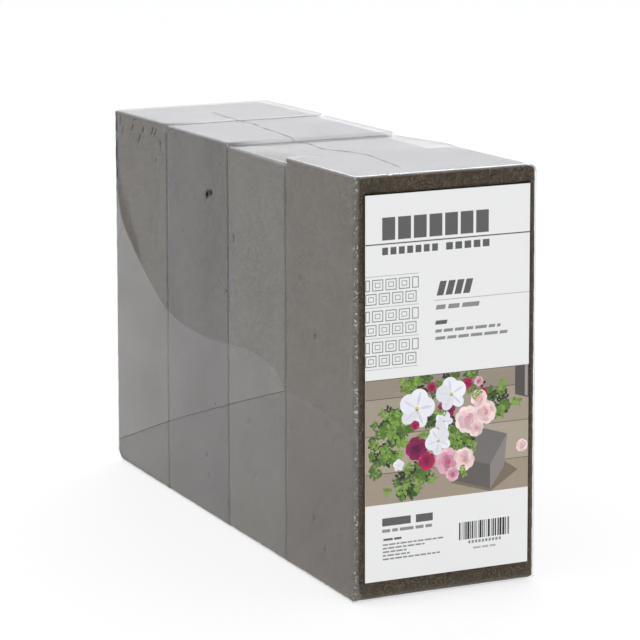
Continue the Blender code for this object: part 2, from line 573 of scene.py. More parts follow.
def card_groove(points):
    """A shallow groove where the card's edge is pressed into the front brick. Its depth is painted as
    shade along the card's edge.
    """
    low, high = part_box("label_card")
    across = np.abs(points[:, 0] - (low.x + high.x) / 2) - (high.x - low.x) / 2
    up = np.abs(points[:, 2] - (low.z + high.z) / 2) - (high.z - low.z) / 2
    edge = np.maximum(across, up)
    return 0.7 * MM * bump(np.abs(edge - 0.2 * MM), 1.3 * MM)


def foam_relief(points, normals, brick, seed):
    """Height of the foam over the brick's smooth shape. It is nearly always negative."""
    height = np.full(len(points), -FOAM_WAVES[0][0])
    for number, (rise, size) in enumerate(FOAM_WAVES):
        height += rise * noise(points, size, seed + number)

    depths = np.sort([plane(points) for plane in brick.planes().values()], axis=0)
    edge_near = np.exp(depths[-2] / (1.3 * MM))
    crumble = unit(noise(points, 2.4 * MM, seed + 3) + 0.25)
    height -= CRUMBLE_DEPTH * crumble * edge_near

    for centre, radius in zip(*scattered_pits(brick, seed + 4, PITS_PER_BRICK)):
        apart = np.linalg.norm(points - centre, axis=1)
        height -= 0.7 * radius * bump(apart, radius)

    on_left = normals[:, 0] < -0.8
    for dent in (*LEFT_DENTS, FOLD_MARK):
        if brick.low.y < dent.y < brick.high.y:
            height -= np.where(on_left, dent_depth(points, dent), 0.0)
    if brick.is_front:
        height -= np.where(normals[:, 1] < -0.8, card_groove(points), 0.0)
    return height


def build_brick(name, seed):
    """One foam brick as a fine closed mesh."""
    brick = BrickShape(name)
    dents = [dent for dent in LEFT_DENTS if brick.low.y < dent.y < brick.high.y]
    points, quads = gridded_box(brick.low, brick.high, [FOAM_STEP] * 3, dents)
    points, normals = settle(points, brick.planes(), brick.radii())
    relief = foam_relief(points, normals, brick, seed)
    points = points + normals * relief[:, None]
    mesh = mesh_from(name + "_foam", points, quads)
    # Depth below the smooth shape, which the foam's material paints as shade.
    hollow_shade = -relief / MM
    # Painted shade along the rear brick's left edge.
    if brick.is_rear:
        hollow_shade += 0.5 * rear_edge_shade(points, brick)
    set_attribute(mesh, "hollow_shade", hollow_shade)
    add_piece(name + "_foam", mesh, foam_material(name + "_foam", FOAM_TINTS[name]), "dry_foam", name)


# ---- card and print

INK_RISE = 0.004 * MM
GREY_INK = srgb(92, 92, 92)
PALE_INK = srgb(140, 140, 140)
FAINT_INK = srgb(176, 176, 176)


class Print:
    """Flat printed shapes on the card, each a thin closed slab, in a layout scaled to fill the card."""

    # The layout's own size, in millimetres.
    width, height = 100.0, 211.0

    def __init__(self, low, high):
        self.left, self.bottom, self.front = low.x, low.z, low.y
        self.scale_u, self.scale_v = (high.x - low.x) / self.width, (high.z - low.z) / self.height
        self.bm = bmesh.new()
        self.ink = self.bm.loops.layers.float_color.new("ink")

    def shape(self, outline, colour, layer):
        """A filled outline, listed counter-clockwise, at the given layer above the card."""
        front = self.front - INK_RISE * (layer + 1)
        back = self.front + INK_RISE
        places = [(self.left + u * self.scale_u, self.bottom + v * self.scale_v) for u, v in outline]
        near = [self.bm.verts.new((x, front, z)) for x, z in places]
        far = [self.bm.verts.new((x, back, z)) for x, z in places]
        faces = [self.bm.faces.new(near), self.bm.faces.new(far[::-1])]
        for here in range(len(near)):
            there = (here + 1) % len(near)
            faces.append(self.bm.faces.new((near[there], near[here], far[here], far[there])))
        for face in faces:
            for loop in face.loops:
                loop[self.ink] = (*colour, 1.0)

    def bar(self, u0, v0, u1, v1, colour=GREY_INK, layer=0, slant=0.0):
        """A bar, or a leaning one."""
        self.shape([(u0, v0), (u1, v0), (u1 + slant, v1), (u0 + slant, v1)], colour, layer)

    def ring(self, u0, v0, u1, v1, line, colour, layer=0):
        """The outline of a rectangle, drawn with four bars."""
        self.bar(u0, v0, u1, v0 + line, colour, layer)
        self.bar(u0, v1 - line, u1, v1, colour, layer)
        self.bar(u0, v0 + line, u0 + line, v1 - line, colour, layer)
        self.bar(u1 - line, v0 + line, u1, v1 - line, colour, layer)

    def oval(self, u, v, length, width, angle, colour, layer, points=12, tip=0.0):
        """An oval, or with tip above 0 a leaf that narrows to points at both ends."""
        cosine, sine = polar(angle, 1.0)
        outline = []
        for step in range(points):
            at = 2 * math.pi * step / points
            along = math.cos(at) * length / 2
            across = math.sin(at) * abs(math.sin(at)) ** tip * width / 2
            outline.append((u + along * cosine - across * sine, v + along * sine + across * cosine))
        self.shape(outline, colour, layer)

    def finish(self):
        """Ends the print as a piece of its own."""
        mesh = bpy.data.meshes.new("card_print")
        self.bm.to_mesh(mesh)
        self.bm.free()
        add_piece("card_print", mesh, ink_material(), "printed_card")


def varied(colour, random, spread=0.12):
    """A colour a little lighter or darker than the given one."""
    factor = 1.0 + random.uniform(-spread, spread)
    return tuple(min(1.0, part * factor) for part in colour)


def print_words(sheet, random, left, right, v, tall, ink=GREY_INK, slant=0.0):
    """A line of plain bars where words would stand."""
    u = left
    while right - u > tall:
        word = min(random.uniform(2.0, 5.0) * tall, right - u)
        sheet.bar(u, v, u + word, v + tall, ink, slant=slant)
        u += word + 0.7 * tall


def print_blocks(sheet, left, right, bottom, top, count, gap, slant=0.0):
    """A row of plain blocks where a heading would stand."""
    pitch = (right - left + gap) / count
    for number in range(count):
        u = left + number * pitch
        sheet.bar(u, bottom, u + pitch - gap, top, GREY_INK, slant=slant)


def print_heading(sheet):
    """Blocks for a heading, over and under a full-width rule."""
    print_blocks(sheet, 10, 74.5, 186.3, 198.6, 7, 1.7)
    sheet.bar(0.0, 184.0, sheet.width, 184.7, GREY_INK)
    print_blocks(sheet, 10, 43.5, 178.4, 182.4, 7, 1.5)
    print_blocks(sheet, 48.5, 75, 178.4, 182.4, 5, 1.5)


def print_brick_bond(sheet):
    """A block of outlined bricks laid in running bond, in three pairs of courses between thin rules."""
    pitch_u, course, line = 8.0, 6.2, 0.55
    for rule in (116.6, 133.4, 150.2, 167.0):
        sheet.bar(0.0, rule, 32.0, rule + 0.35, FAINT_INK)
    for pair in range(3):
        for row in range(2):
            v = 118.2 + pair * 16.8 + row * (course + 1.3)
            shift = pitch_u / 2 if row else 0.0
            for column in range(5):
                u0 = max(0.0, column * pitch_u - shift)
                u1 = min(32.0, (column + 1) * pitch_u - shift - 1.3)
                if u1 - u0 > 1.5:
                    sheet.ring(u0, v, u1, v + course, line, PALE_INK)
                if u1 - u0 > 4.5:
                    sheet.ring(u0 + 1.7, v + 1.7, u1 - 1.7, v + course - 1.7, 0.4, PALE_INK)


def print_text_lines(sheet):
    """Bars where lines of text would stand."""
    random = np.random.default_rng(3)
    print_blocks(sheet, 42.8, 63.0, 153.8, 161.6, 4, 1.3, slant=2.2)
    sheet.bar(41.5, 151.1, sheet.width, 151.5, FAINT_INK)
    # The left end, the right end, the height above the card's foot and the size of each line.
    for left, right, v, tall, ink, slant in (
        (42.3, 68.6, 146.2, 2.5, PALE_INK, 0.6),
        (42.0, 49.0, 138.0, 2.2, GREY_INK, 0.5),
        (42.0, 82.0, 133.6, 1.7, PALE_INK, 0.4),
        (42.0, 86.5, 129.6, 1.7, PALE_INK, 0.4),
        (10.2, 41.0, 30.2, 4.4, GREY_INK, 0.0),
        (10.2, 40.5, 26.7, 1.7, PALE_INK, 0.0),
        (11.0, 23.0, 22.1, 1.2, GREY_INK, 0.0),
        (10.6, 48.0, 19.4, 0.9, PALE_INK, 0.0),
        (10.6, 36.0, 17.4, 0.9, PALE_INK, 0.0),
        (10.6, 25.0, 15.4, 0.9, PALE_INK, 0.0),
        (10.6, 27.0, 13.4, 0.9, PALE_INK, 0.0),
        (10.6, 45.5, 11.4, 0.9, PALE_INK, 0.0),
        (66.0, 80.0, 11.2, 1.1, FAINT_INK, 0.0),
    ):
        print_words(sheet, random, left, right, v, tall, ink, slant)


def print_stripes(sheet):
    """A block of upright stripes of uneven width, which spells nothing."""
    random = np.random.default_rng(5)
    u, right = 57.2, 90.0
    while u < right - 1.2:
        wide = random.choice([0.35, 0.55, 0.9, 1.3])
        sheet.bar(u, 17.0, u + wide, 26.8, srgb(40, 40, 40))
        u += wide + random.choice([0.35, 0.5, 0.8])
    for step in range(10):
        sheet.bar(63.0 + step * 2.1, 14.5, 64.4 + step * 2.1, 16.1, PALE_INK)


PICTURE = (0.0, 42.3, 100.0, 111.0)


def print_boards(sheet, random):
    """Weathered boards behind the picture's flowers."""
    left, bottom, right, top = PICTURE
    edges = (bottom, 59.5, 80.5, 100.5, top)
    tones = (srgb(160, 147, 130), srgb(172, 161, 142), srgb(164, 153, 137), srgb(150, 139, 124))
    for (low, high), tone in zip(zip(edges[:-1], edges[1:]), tones):
        sheet.bar(left, low, right, high, tone, layer=0)
        for _ in range(26):
            u = random.uniform(left, right - 25)
            v = random.uniform(low + 0.5, high - 0.9)
            long = random.uniform(8, 24)
            tall = random.uniform(0.15, 0.5)
            sheet.bar(u, v, u + long, v + tall, varied(tone, random, 0.13), layer=0.4 + random.random())
        sheet.bar(left, high - 0.35, right, high, srgb(88, 78, 68), layer=2)


def print_block(sheet, u, v, size):
    """A grey foam block seen from above one corner."""
    def face(tone, *corners):
        sheet.shape([(u + a * size, v + b * size) for a, b in corners], tone, 4)

    shadow = [(u - 3, v - 1), (u + 22, v - 8.5), (u + 39, v + 2), (u + 30, v + 8)]
    sheet.shape(shadow, srgb(122, 110, 92), 3)
    face(srgb(97, 93, 90), (0.0, 0.0), (0.62, -0.20), (0.62, 0.19), (0.0, 0.35))
    face(srgb(139, 131, 128), (0.62, -0.20), (0.87, 0.13), (0.92, 0.65), (0.62, 0.19))
    face(srgb(115, 111, 109), (0.0, 0.35), (0.62, 0.19), (0.92, 0.65), (0.44, 0.80))


def print_sprig(sheet, random, u, v, angle, leaves, size, tone, layer):
    """A stem with pairs of leaves."""
    for step in range(leaves):
        along_u, along_v = polar(angle, (step + 1) * size * 0.62)
        for side in (-1, 1):
            lean = angle + side * random.uniform(38, 62)
            out_u, out_v = polar(lean, size / 2)
            cut_u = min(max(u + along_u + out_u, PICTURE[0] + size), PICTURE[2] - size)
            cut_v = min(max(v + along_v + out_v, PICTURE[1] + size / 2), PICTURE[3] - size / 2)
            length = size * random.uniform(0.8, 1.15)
            sheet.oval(cut_u, cut_v, length, size * 0.55, lean, varied(tone, random, 0.3),
                       layer + 3 * random.random(), 10, 0.35)


def print_rosette(sheet, random, u, v, radius, outer, inner, layer):
    """A full round flower: rings of petals that get smaller and change colour inwards."""
    rings = 4
    for ring in range(rings):
        share = ring / (rings - 1)
        reach = radius * (0.72 - 0.6 * share)
        petals = 9 - 2 * ring
        for petal in range(petals):
            angle = 360 * petal / petals + ring * 23 + random.uniform(-8, 8)
            out_u, out_v = polar(angle, reach)
            tone = tuple(a * (1 - share) + b * share for a, b in zip(outer, inner))
            sheet.oval(
                u + out_u, v + out_v, radius * (0.75 - 0.35 * share), radius * (0.62 - 0.3 * share),
                angle + 90, varied(tone, random, 0.22), layer + 2.5 * ring + petal * 0.25,
            )


def print_open_flower(sheet, random, u, v, radius, tilt, layer):
    """A broad white flower with five petals and a small yellow heart."""
    for petal, angle in enumerate((90, 18, 162, 306, 234)):
        turned = angle + tilt
        out_u, out_v = polar(turned, 0.5 * radius)
        wide = 1.25 if petal < 3 else 0.9
        tone = varied(srgb(232, 233, 238), random, 0.08)
        middle = (u + out_u, v + out_v)
        sheet.oval(*middle, radius * 1.02, radius * 0.82 * wide, turned, tone, layer + petal % 3, 16)
        vein = varied(srgb(216, 218, 228), random, 0.04)
        sheet.oval(*middle, radius * 0.7, radius * 0.16, turned, vein, layer + 3, 8, 0.4)
    sheet.oval(u, v, radius * 0.26, radius * 0.22, tilt, srgb(222, 206, 140), layer + 4, 10)
    sheet.oval(u, v - 0.05 * radius, radius * 0.12, radius * 0.10, tilt, srgb(160, 112, 70), layer + 5, 8)


# Where the picture's leaves grow: each patch's middle, half width, half height and number of sprigs.
LEAF_PATCHES = (
    (16, 80, 9, 9, 24), (24, 87, 7, 6, 14), (13, 66, 6, 5, 9), (30, 54, 8, 5, 12), (21, 49, 6, 2, 4),
    (52, 76, 8, 6, 16), (60, 68, 5, 5, 8), (80, 93, 8, 4, 14), (60, 106, 10, 3, 9), (34, 106, 7, 3, 9),
    (47, 84, 6, 6, 6),
)


def print_leaves(sheet, random):
    """The greenery around and between the flowers, dark below and bright on top."""
    greens = (srgb(40, 56, 30), srgb(62, 88, 40), srgb(84, 118, 46), srgb(120, 152, 66))
    for deep in range(2):
        for u, v, half_u, half_v, count in LEAF_PATCHES:
            for number in range(count):
                cu, cv = u + random.uniform(-half_u, half_u), v + random.uniform(-half_v, half_v)
                tone = greens[number % 2 + 2 * deep]
                size = random.uniform(2.2, 3.6)
                print_sprig(sheet, random, cu, cv, random.uniform(0, 360), 3, size, tone, 5 + 3 * deep)


def print_picture(sheet):
    """A posy of flowers beside a foam block, on boards."""
    random = np.random.default_rng(11)
    print_boards(sheet, random)
    print_block(sheet, 54.5, 50.8, 35)
    sheet.shape([(91.5, 95), (100, 92.5), (100, 111), (91.5, 111)], srgb(84, 79, 75), 3)
    sheet.shape([(97.6, 94), (99.4, 93.4), (99.4, 111), (97.6, 111)], srgb(158, 154, 150), 4)
    print_leaves(sheet, random)
    blush = (srgb(238, 214, 212), srgb(218, 168, 172))
    rose = (srgb(226, 180, 192), srgb(186, 96, 128))
    plum = (srgb(138, 26, 84), srgb(84, 8, 50))
    berry = (srgb(178, 34, 92), srgb(120, 12, 58))
    for u, v, radius, (outer, inner), layer in (
        (49, 91, 5.5, plum, 12), (62, 104, 3.2, berry, 12), (71, 97.5, 3.6, berry, 12),
        (69, 104.5, 2.8, rose, 12), (40, 104, 2.8, berry, 12), (31, 71, 6.6, plum, 13),
        (37, 63.5, 5.2, berry, 15), (50, 62, 7.5, rose, 13), (60, 62, 6.5, blush, 15),
        (53, 54.5, 4.0, rose, 17), (30, 84, 2.6, berry, 32), (96, 66, 3.6, blush, 12),
    ):
        print_rosette(sheet, random, u, v, radius, outer, inner, layer)
    for u, v, radius, tilt, layer in (
        (52, 99, 9.5, 10, 22), (31, 93, 11.0, -14, 24), (47.5, 84.5, 5.5, 50, 28),
        (44, 74, 8.0, 30, 30), (20, 63, 3.4, 0, 20),
    ):
        print_open_flower(sheet, random, u, v, radius, tilt, layer)
    for u, v, radius in ((62, 84, 7.6), (73, 87, 6.8), (69, 95, 5.0), (67, 79, 5.0)):
        print_rosette(sheet, random, u, v, radius, *blush, 34)
    sprigs = ((40, 80, 200), (50, 88, 160), (60, 72, -20), (64, 95, 35), (58, 60, -70), (28, 106, 150))
    for u, v, angle in sprigs:
        print_sprig(sheet, random, u, v, angle, 5, 2.2, srgb(126, 158, 70), 46)


def build_card():
    """The card and what is printed on it."""
    low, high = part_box("label_card")
    step = 6 * MM
    points, quads = lattice(
        np.linspace(low.x, high.x, round((high.x - low.x) / step) + 1),
        np.array([low.y, high.y]),
        np.linspace(low.z, high.z, round((high.z - low.z) / step) + 1),
    )
    mesh = mesh_from("card_stock", points, quads)
    mesh.set_sharp_from_angle(angle=math.radians(40))
    add_piece("card_stock", mesh, card_material(), "printed_card", "label_card")
    sheet = Print(low, high)
    print_heading(sheet)
    print_brick_bond(sheet)
    print_text_lines(sheet)
    print_stripes(sheet)
    print_picture(sheet)
    sheet.finish()


# ---- film

FILM_THICKNESS = 0.12 * MM
FOLD_THICKNESS = 0.04 * MM
FILM_STEPS = (4.0 * MM, 3.0 * MM, 2.0 * MM)
# How strongly the film mirrors on its sides, less towards the rear, on top and on its front. The
# differences are painted light: one film, made to mirror more or less face by face.
SIDE_GLOSS = 0.75
SIDE_GLOSS_FALL = 0.34
TOP_GLOSS = 0.95
FRONT_GLOSS = 0.15
# Painted highlight: how strongly the film mirrors where it wraps the front left upright edge.
LEFT_EDGE_GLOSS = 3.4
WELD_GLOSS = 0.45
VENT_GLOSS = 3.0
# How much glossier the film is where it rounds the top's front edge and its other edges: painted
# highlights.
FRONT_RIM, SIDE_RIM = 5.0, 0.5
# Where the film climbs from brick to brick: depth over height, and how much more it mirrors there: a
# painted reflection.
CLIMB_LEAN = 0.25
CLIMB_REFLECTION = 27.0
# How far in from the left edge the film has left the bricks' tops where it bridges them.
BRIDGE_REACH = 14 * MM
# How much closer to the foam the visible film lies than the outside of the CAD film.
FILM_SNUG = 0.2 * MM
# The part of the left side where the film is looser and duller: its middle, half width and loss of gloss.
LOOSE_PLACE, LOOSE_REACH, LOOSE_LOSS = 8 * MM, 38 * MM, 0.2


class FilmShape:
    """The skin of film: the CAD film's box, drawn in to follow the bricks' tops and right sides."""

    def __init__(self, bricks):
        self.bricks = bricks
        self.low, self.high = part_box("shrink_film")
        snug = Vector((FILM_SNUG, FILM_SNUG, 0.0))
        self.low, self.high = self.low + snug, self.high - snug
        self.seams = [(a.high.y + b.low.y) / 2 for a, b in zip(bricks[:-1], bricks[1:])]
        self.foam_gap = self.high.z - max(brick.high.z for brick in bricks)
        self.profiles = [self.top_profile(clinging) for clinging in (True, False)]
        self.lowest_top = min(brick.rear_top for brick in bricks) - 1 * MM

    def top_profile(self, clinging):
        """Depths and heights along the film's top.

        It climbs steeply to a brick that is higher than the one before. A brick that is lower is bridged
        over to its rear edge, unless the film clings to it.
        """
        ys, zs = [self.bricks[0].low.y], [self.bricks[0].front_top]
        for brick, behind in zip(self.bricks, [*self.bricks[1:], None]):
            ys.append(brick.high.y)
            zs.append(brick.rear_top)
            if behind and behind.front_top > brick.rear_top:
                ys[-1] -= 0.2 * MM + CLIMB_LEAN * (behind.front_top - brick.rear_top)
                ys.append(behind.low.y - 0.1 * MM)
                zs.append(behind.front_top)
            elif behind and clinging:
                ys.append(behind.low.y + 0.3 * MM)
                zs.append(behind.front_top)
        return ys, [z + self.foam_gap for z in zs]

    def top(self, x, y):
        """Height of the film's top, which clings to the bricks on the left and bridges further in."""
        bridging = ramp(x, self.low.x, self.low.x + BRIDGE_REACH)
        clinging_height, bridging_height = (np.interp(y, *profile) for profile in self.profiles)
        return clinging_height + (bridging_height - clinging_height) * bridging

    def right_side(self, y):
        """Where the film's right side is: it runs straight from the front brick to the rear one."""
        front, rear = self.bricks[0], self.bricks[-1]
        rear_side = rear.high.x + self.foam_gap + 0.6 * MM
        return np.interp(y, [front.high.y, rear.high.y], [self.high.x, rear_side])

    def planes(self):
        """The film's six sides."""
        planes = box_planes(self.low, self.high)
        planes["z+"] = lambda points: points[:, 2] - self.top(points[:, 0], points[:, 1])
        planes["x+"] = lambda points: points[:, 0] - self.right_side(points[:, 1])
        return planes

    def radii(self):
        """The film's edges: as round as the foam's, but sharper where it stands off a set-back brick."""
        front_end = self.bricks[0].high.y
        radii = {edge: radius + 0.3 * MM for edge, radius in EDGE_RADII.items()}
        radii[("x-", "y-")] = blunt_foot(radii[("x-", "y-")])
        right_top = ("x+", "z+")
        sizes = [radii[right_top], 3.0 * MM]
        change = [front_end - 4 * MM, front_end + 10 * MM]
        radii[right_top] = lambda points: np.interp(points[:, 1], change, sizes)
        return radii


def curve_height(places, curve):
    """Height of a curve, given as (depth, height) points in order of depth, at each depth."""
    ordered = curve[np.argsort(curve[:, 0])]
    return np.interp(places, ordered[:, 0], ordered[:, 1])


def side_curve(*places):
    """A smooth curve through places on the left side, given as (Y, Z) in millimetres."""
    return curve_through([(y * MM, z * MM) for y, z in places])


# The folded-over layer on the left side: its upper and its lower edge, from rear to front.
FOLD_UPPER = side_curve(
    (156, 196), (149, 164), (123, 141), (77, 115), (24, 109), (-34, 113), (-68, 109), (-79, 99)
)
FOLD_LOWER = side_curve((157, 14), (74, 46), (-8, 75), (-79, 99))
UNDER_LOWER = side_curve((-79, 99), (-110, 98.5), (-157, 93))


def crescent(points, normals):
    """1 along the fold's upper rear border, where the film stands off, fading away above it. There the
    film's
    mirroring is also cut: a painted shade.
    """
    _, y, z = points.T
    above = z - curve_height(y, FOLD_UPPER)
    ahead = np.clip((y - 119 * MM) / (21 * MM), 0.001, 1.0)
    on_left = (normals[:, 0] < -0.5) & (above > 0.0)
    fading = unit(1.5 * bump(above, 30 * MM * np.sqrt(ahead)))
    return np.where(on_left, fading * unit(ahead * 8.0), 0.0)


def film_relief(points, normals, shape):
    """Height of the film over its smooth shape."""
    x, y, z = points.T
    on_side = np.abs(normals[:, 0]) > 0.8
    off_the_floor = normals[:, 2] > -0.3
    sway = np.where(on_side, 0.03, 0.06) * MM
    height = sway * noise(points, 42 * MM, 71) + 0.5 * sway * noise(points, 13 * MM, 72)
    for seam in shape.seams:
        height -= np.where(on_side, 0.03 * MM, 0.0) * bump(np.abs(y - seam), 1.6 * MM)

    front_edge = np.hypot(x - shape.low.x, y - shape.low.y)
    gather = unit(noise(points, 4 * MM, 73)) * bump(front_edge, 7 * MM)
    height += 0.5 * MM * gather * np.clip((z - 80 * MM) / (50 * MM), 0.15, 1.0)
    height += 0.25 * MM * crescent(points, normals)
    return np.where(off_the_floor, height, 0.0)


def rear_edge_shade(points, body):
    """1 in the ragged spots along the rear left edge where the film lies clear over crushed foam. There
    the film mirrors nothing and the foam is painted darker: painted shade.
    """
    x, y, z = points.T
    near = bump(np.hypot(x - body.low.x, y - body.high.y), 9 * MM)
    ragged = unit(0.8 + 1.8 * noise(points, 3 * MM, 75))
    return unit(1.8 * near) * ragged * ramp(z, 150 * MM, 180 * MM)


def film_gloss(points, normals, shape):
    """How strongly each place of the film mirrors, beside clean film. Much of it is painted light: a
    different strength on each face, highlights on rims and edges, and shade along the crescent, the
    seams, the rear left edge and the wide dents.
    """
    _, y, z = points.T
    facing_x, facing_y, facing_z = normals.T
    gloss = np.full(len(points), FRONT_GLOSS)
    side = ramp(np.abs(facing_x), 0.3, 0.8)
    top = ramp(facing_z, 0.3, 0.8)
    side_gloss = SIDE_GLOSS * (1.0 - SIDE_GLOSS_FALL * y / shape.high.y)
    gloss += (side_gloss - FRONT_GLOSS) * side + (TOP_GLOSS - FRONT_GLOSS) * top

    # Painted highlights where the film rounds the top's edges.
    rounding = ramp(facing_z, 0.99, 0.89) * ramp(facing_z, 0.15, 0.45)
    gloss *= 1.0 + rounding * np.where(facing_y < -0.1, FRONT_RIM, SIDE_RIM)
    # Painted highlight along the front left upright edge.
    wrap = ramp(facing_x, -0.22, -0.52) * ramp(facing_y, -0.03, -0.23)
    gloss = np.maximum(gloss, LEFT_EDGE_GLOSS * wrap)
    # Painted shade along the crescent: the film mirrors little there.
    gloss *= 1.0 - 0.85 * crescent(points, normals)
    on_left = facing_x < -0.5
    loose = bump(np.abs(y - LOOSE_PLACE), LOOSE_REACH) * ramp(z, 110 * MM, 150 * MM)
    gloss *= np.where(on_left, 1.0 - LOOSE_LOSS * loose, 1.0)
    for seam in shape.seams:
        apart = np.abs(y - seam)
        # Painted shade over the seam on the left side: the film mirrors less there.
        gloss *= np.where(on_left, 1.0 - 0.6 * bump(apart, 0.9 * MM), 1.0)
        gloss = np.where((apart < 3 * MM) & (z > shape.lowest_top), TOP_GLOSS, gloss)
    # Painted shade along the rear left edge: the film mirrors nothing there.
    gloss *= 1.0 - rear_edge_shade(points, shape)
    # Painted shade over the wide dents: the film mirrors less there.
    for dent in WIDE_DENTS:
        apart = np.hypot(y - dent.y, z - dent.z)
        clear = unit(1.5 * bump(apart, dent.radius + dent.length * 0.5))
        gloss *= np.where(on_left, 1.0 - clear, 1.0)
    return gloss


def read_numbers(items, key, kind, width):
    """One property of all of a mesh's vertices, edges or faces, as rows of an array."""
    values = np.empty(len(items) * width, kind)
    items.foreach_get(key, values)
    return values.reshape(-1, width)


def crease_climbs(mesh, shape):
    """Creases the film where it climbs from brick to brick, and marks how much more it mirrors there: a
    painted reflection.
    """
    def beside_seam(places):
        apart = np.min([np.abs(places[:, 1] - seam) for seam in shape.seams], axis=0)
        return (apart < 3 * MM) & (places[:, 2] > shape.lowest_top)

    places = read_numbers(mesh.vertices, "co", np.float32, 3)
    ends = read_numbers(mesh.edges, "vertices", np.int32, 2)
    across = np.abs(places[ends[:, 0], 1] - places[ends[:, 1], 1]) < 0.15 * MM
    creased = across & beside_seam(places)[ends].all(axis=1)
    set_attribute(mesh, "sharp_edge", creased, "BOOLEAN", "EDGE")

    centres = read_numbers(mesh.polygons, "center", np.float32, 3)
    lean = ramp(read_numbers(mesh.polygons, "normal", np.float32, 3)[:, 1], 0.0, -0.6)
    inner = ramp(centres[:, 0], shape.high.x, shape.high.x - 6 * MM)
    inner *= np.clip((centres[:, 0] - shape.low.x) / (22 * MM), 0.2, 1.0)
    # Painted reflection on the climbing faces.
    climb_reflection = CLIMB_REFLECTION * np.where(beside_seam(centres), inner * lean**2, 0.0)
    set_attribute(mesh, "climb_reflection", climb_reflection, "FLOAT", "FACE")


def build_film_skin(shape, film):
    """The film itself, closed all round."""
    points, quads = gridded_box(shape.low, shape.high, FILM_STEPS, WIDE_DENTS, shape.seams)
    points, normals = settle(points, shape.planes(), shape.radii())
    gloss = film_gloss(points, normals, shape)
    points = points + normals * film_relief(points, normals, shape)[:, None]
    mesh = mesh_from("shrink_film_skin", points, quads)
    crease_climbs(mesh, shape)
    set_attribute(mesh, "gloss", gloss)
    skin = add_piece("shrink_film_skin", mesh, film, "clear_film", "shrink_film")
    thicken(skin, FILM_THICKNESS, -1.0)


def resampled(curve, count):
    """A curve's points, spaced evenly along it."""
    lengths = np.concatenate([[0.0], np.cumsum(np.linalg.norm(np.diff(curve, axis=0), axis=1))])
    places = np.linspace(0.0, lengths[-1], count)
    return np.stack([np.interp(places, lengths, values) for values in curve.T], axis=1)


def film_sheet(name, upper, lower, x, gloss, film):
    """An extra layer of film against the left side, between two curves. gloss is a function of depth."""
    columns, rows = 60, 8
    top, bottom = resampled(upper, columns), resampled(lower, columns)
    shares = np.linspace(0.0, 1.0, rows)
    places = np.concatenate([bottom + share * (top - bottom) for share in shares])
    points = np.column_stack([np.full(len(places), x), places])
    mesh = mesh_from(name, points, grid_faces(rows, columns))
    mesh.shade_flat()
    set_attribute(mesh, "gloss", gloss(places[:, 0]))
    thicken(add_piece(name, mesh, film, "clear_film"), FOLD_THICKNESS, 0.0)


def build_folded_layers(shape, film):
    """The film's folded-over layers on the left side: a wedge, and a wider one below it, and a painted
    shadow along the wedge's lower edge.
    """
    def fold_gloss(y):
        return 0.52 + 0.42 * ramp(y, 40 * MM, 130 * MM)

    def underlap_gloss(y):
        return 0.37 + 0.95 * y

    x = shape.low.x - 0.14 * MM
    film_sheet("shrink_film_fold", FOLD_UPPER, FOLD_LOWER, x - 0.07 * MM, fold_gloss, film)
    border = np.vstack([FOLD_LOWER, UNDER_LOWER[1:]])
    foot = curve_through([(156 * MM, 12 * MM), (150 * MM, 5 * MM), (0.0, 4 * MM), (-156 * MM, 4 * MM)])
    film_sheet("shrink_film_underlap", border, foot, x, underlap_gloss, film)
    # A painted shadow along the fold's lower edge: a narrow strip that mirrors nothing and dims what lies
    # behind it.
    shadow_strip = FOLD_LOWER - np.array([0.0, 0.6 * MM])
    shadow_strip_film = film_material("fold_edge_shadow", clearness=0.88)
    film_sheet("shrink_film_fold_shadow", FOLD_LOWER, shadow_strip, x - 0.15 * MM, np.zeros_like, shadow_strip_film)


# The welded seam on the top, as (X, Y) from rear to front.
WELD_PATH = MM * curve_through([
    (-6, 118), (-8.5, 86), (-5.5, 62), (-9, 32), (-12.5, -10),
    (-12.5, -28), (-18, -58), (-11.5, -92), (-15, -122), (-18, -143),
])


def build_weld(shape, film):
    """The welded seam along the film's top: a low bead that swells and sways."""
    rings, ribs = len(WELD_PATH), 6
    place = np.arange(rings)
    sway = 0.25 * MM * np.sin(place * 1.7) + 0.2 * MM * np.sin(place * 0.63)
    tapered = unit(np.minimum(place + 1, rings - place) / 4)
    thick = tapered * (0.7 + 0.4 * np.sin(place * 0.9))
    points = []
    for (x, y), shift, share in zip(WELD_PATH, sway, thick):
        for turn in np.linspace(0.0, 2 * math.pi, ribs, endpoint=False):
            across, up = 0.35 * MM * share * math.cos(turn), 0.25 * MM * share * math.sin(turn)
            points.append((x + shift + across, y, float(shape.top(x, y)) + up))
    ends = [range(ribs)[::-1], range(rings * ribs)[-ribs:]]
    faces = grid_faces(rings, ribs, columns_close=True) + ends
    mesh = mesh_from("shrink_film_weld", points, faces)
    set_attribute(mesh, "gloss", np.full(len(points), WELD_GLOSS))
    add_piece("shrink_film_weld", mesh, film, "clear_film")


def build_vents(shape, film):
    """The rims of the vent holes punched through the film's rear panel, in one level row."""
    pitch, radius, tube, height = 25 * MM, 2 * MM, 0.2 * MM, 150 * MM
    sides, ribs = 24, 6
    points, faces = [], []
    for number in (-1, 0, 1):
        for face in grid_faces(sides, ribs, rows_close=True, columns_close=True):
            faces.append([len(points) + corner for corner in face])
        for turn in np.linspace(0.0, 2 * math.pi, sides, endpoint=False):
            for angle in np.linspace(0.0, 2 * math.pi, ribs, endpoint=False):
                reach = radius + tube * math.cos(angle)
                x, z = number * pitch + reach * math.cos(turn), height + reach * math.sin(turn)
                points.append((x, shape.high.y + tube * math.sin(angle), z))
    mesh = mesh_from("shrink_film_vents", points, faces)
    set_attribute(mesh, "gloss", np.full(len(points), VENT_GLOSS))
    add_piece("shrink_film_vents", mesh, film, "clear_film")


